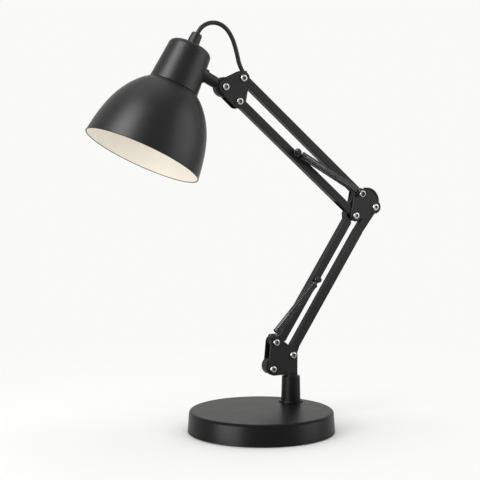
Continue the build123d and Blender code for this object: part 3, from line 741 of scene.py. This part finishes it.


# Lead: one smooth line from the gland to its seat in the head bracket, in two lengths. The bends are shares
# of the straight distance, along it and above it.

CORD_R = 3.0
CORD_END = (2.6, 9.5)
CORD_LEAD = 0.1006
CORD_BENDS = (
    (0.011, 0.204),
    (0.065, 0.296),
    (0.146, 0.366),
    (0.245, 0.408),
    (0.353, 0.415),
    (0.466, 0.387),
    (0.606, 0.311),
    (0.771, 0.171),
    (0.888, 0.057),
)
CORD_SPLIT = 6
GLAND_SEAT = 176.5


def lead_route():
    start = polar(STEM_END, GLAND_SEAT - STEM_HEIGHT, SHADE_AXIS)
    end = add(HEAD_TOP, CORD_END)
    span = math.dist(start, end)
    slope = math.degrees(math.atan2(end[1] - start[1], end[0] - start[0]))
    points = [start, polar(start, CORD_LEAD * span, SHADE_AXIS)]
    for along, above in CORD_BENDS:
        points.append(polar(polar(start, along * span, slope), above * span, slope + 90))
    return [world(p) for p in points + [end]]


def curve_object(name, kind, points):
    """A curve of the given kind that has the points as its controls."""
    curve = bpy.data.curves.new(name, "CURVE")
    curve.dimensions = "3D"
    spline = curve.splines.new(kind)
    spline.points.add(len(points) - 1)
    for control, p in zip(spline.points, points):
        control.co = (*p, 1)
    holder = bpy.data.objects.new(name, curve)
    bpy.context.scene.collection.objects.link(holder)
    return holder


def lead_line(points):
    """Points along a smooth line that has the route's points as its controls."""
    holder = curve_object("lead_line", "NURBS", points)
    curve = holder.data
    curve.resolution_u = 12
    curve.splines[0].order_u = 3
    curve.splines[0].use_endpoint_u = True
    bpy.context.view_layer.update()
    mesh = bpy.data.meshes.new_from_object(holder)
    line = [v.co.copy() for v in mesh.vertices]
    bpy.data.objects.remove(holder)
    bpy.data.meshes.remove(mesh)
    bpy.data.curves.remove(curve)
    return line


def lead_length(name, node, line):
    piece = curve_object(name, "POLY", line)
    piece.data.bevel_depth = CORD_R * MM
    piece.data.bevel_resolution = 5
    piece.data.use_fill_caps = True
    take_up(piece)
    bpy.ops.object.convert(target="MESH")
    piece = bpy.context.object
    smooth(60)
    coat(piece, sheath)
    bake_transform(piece)
    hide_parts(node)
    length = sum((q - p).length for p, q in zip(line, line[1:]))


# The seat: a low saddle between the head bracket's plates, bored for the lead

SEAT_LEFT, SEAT_RIGHT, SEAT_FOOT, SEAT_TOP, SEAT_W = -2.5, 6.5, 7.95, 10.15, 12.4
SEAT_BORE_R, SEAT_BORE_L = CORD_R + 0.2, 20.0


def lead_seat(before, end):
    clear_selection()
    bpy.ops.mesh.primitive_cube_add(size=1.0)
    piece = name_new("lead_seat")
    piece.scale = ((SEAT_RIGHT - SEAT_LEFT) * MM, SEAT_W * MM, (SEAT_TOP - SEAT_FOOT) * MM)
    middle = add(HEAD_TOP, ((SEAT_LEFT + SEAT_RIGHT) / 2, (SEAT_FOOT + SEAT_TOP) / 2))
    piece.location = world(middle)
    bpy.ops.object.transform_apply(location=True, rotation=True, scale=True)
    soften(piece, 0.8, segments=4)
    clear_selection()
    bpy.ops.mesh.primitive_cylinder_add(
        vertices=48, radius=SEAT_BORE_R * MM, depth=SEAT_BORE_L * MM, location=end
    )
    bore = name_new("seat_bore")
    bore.rotation_euler = (before - end).to_track_quat("Z", "Y").to_euler()
    combine(piece, bore, "DIFFERENCE")
    smooth(35)
    coat(piece, plastic)
    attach(piece, "head_bracket")
    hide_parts("cable_bush")


route = lead_route()
line = lead_line(route)
lead_seat(route[-2], route[-1])
middle = route[CORD_SPLIT]
cut = min(range(len(line)), key=lambda i: (line[i] - middle).length)
gland_part, bracket_part = line[: cut + 1], line[cut:]
lead_length("lead_from_gland", "lead_gland_half", gland_part)
lead_length(
    "lead_to_bracket", "lead_bracket_half", bracket_part
)


# Floor, light and surroundings, in metres

ROOM_TONE, ROOM_STRENGTH = (1.0, 1.0, 0.99, 1), 0.84
BACKDROP_TONE, BACKDROP_STRENGTH = (0.950, 0.950, 0.935, 1), 1.0
FLOOR_R, FLOOR_Z = 4.0, -0.0002
PAPER_TONE = (0.9, 0.9, 0.895, 1)
FADE_FROM, FADE_TO = 0.3, 0.85
TOUCH_REACH = 0.004


def surroundings():
    """A soft room for light, and a pale backdrop where it is seen or mirrored."""
    room = bpy.data.worlds.new("studio")
    bpy.context.scene.world = room
    room.use_nodes = True
    tree = room.node_tree
    tree.nodes.clear()
    out = tree.nodes.new("ShaderNodeOutputWorld")
    rays = tree.nodes.new("ShaderNodeLightPath")
    seen = rays.outputs["Is Camera Ray"]
    for kind in ("Is Glossy Ray", "Is Transmission Ray"):
        either = tree.nodes.new("ShaderNodeMath")
        either.operation = "MAXIMUM"
        tree.links.new(seen, either.inputs[0])
        tree.links.new(rays.outputs[kind], either.inputs[1])
        seen = either.outputs[0]
    mix = tree.nodes.new("ShaderNodeMixShader")
    tree.links.new(seen, mix.inputs["Fac"])
    shades = ((ROOM_TONE, ROOM_STRENGTH), (BACKDROP_TONE, BACKDROP_STRENGTH))
    for socket, (tone, strength) in enumerate(shades, start=1):
        shade = tree.nodes.new("ShaderNodeBackground")
        shade.inputs["Color"].default_value = tone
        shade.inputs["Strength"].default_value = strength
        tree.links.new(shade.outputs[0], mix.inputs[socket])
    tree.links.new(mix.outputs[0], out.inputs["Surface"])


def paper_floor():
    """A paper floor that fades out round the lamp, and is clear from below and where the base touches it."""
    clear_selection()
    bpy.ops.mesh.primitive_circle_add(
        vertices=96, radius=FLOOR_R, fill_type="NGON", location=(0, 0, FLOOR_Z)
    )
    floor = name_new("floor")
    paint = Paint("floor_paper")
    distance = paint.node("ShaderNodeVectorMath", {"operation": "LENGTH"}, {0: paint.place()}, output=1)
    fade = paint.node(
        "ShaderNodeMapRange",
        {"interpolation_type": "SMOOTHSTEP"},
        {"Value": distance, "From Min": FADE_FROM, "From Max": FADE_TO},
    )
    paper = paint.node("ShaderNodeBsdfDiffuse", None, {"Color": PAPER_TONE})
    clear = paint.node("ShaderNodeBsdfTransparent")
    below = paint.node("ShaderNodeNewGeometry", output="Backfacing")
    reach = paint.node("ShaderNodeLightPath", output="Ray Length")
    touching = paint.node("ShaderNodeMath", {"operation": "LESS_THAN"}, {0: reach, 1: TOUCH_REACH})
    share = fade.most(below).most(touching)
    coat(floor, paint.surface(paint.node("ShaderNodeMixShader", None, {0: share, 1: paper, 2: clear})))


def softbox(name, place, aim, size, power, base=None):
    """A lamp; with base, a lamp for sheen alone that leaves out the base or lights nothing else."""
    data = bpy.data.lights.new(name, "AREA")
    data.shape = "RECTANGLE"
    data.size, data.size_y = size
    data.energy = power
    lamp = bpy.data.objects.new(name, data)
    bpy.context.scene.collection.objects.link(lamp)
    lamp.location = place
    point_at(lamp, aim)
    if base:
        lamp.visible_diffuse = False
        group = bpy.data.collections.new(name + "_base")
        group.objects.link(nodes["base_shell"])
        group.collection_objects[0].light_linking.link_state = base
        lamp.light_linking.receiver_collection = group


surroundings()
paper_floor()
softbox("left_sheen", (-2.9, -0.78, 2.6), (0, 0, 1.9), (2.4, 5.0), 600.0, base="EXCLUDE")
softbox("right_sheen", (2.43, -1.7, 1.4), (0, 0, 1.3), (2.4, 2.8), 76.0, base="EXCLUDE")
softbox("left_strip", (-0.257, -0.083, 0.018), (0, 0, 0.018), (0.16, 0.033), 0.4, base="INCLUDE")
softbox("right_strip", (0.17, -0.21, 0.018), (0, 0, 0.018), (0.16, 0.033), 0.15, base="INCLUDE")
softbox("key", (-3.2, -0.9, 1.2), (0, 0, 0.3), (1.4, 2.0), 30.0)
softbox("top", (0.0, 0.4, 3.2), (0, 0, 0.0), (2.4, 2.4), 24.0)
bpy.context.scene.view_settings.view_transform = "Standard"
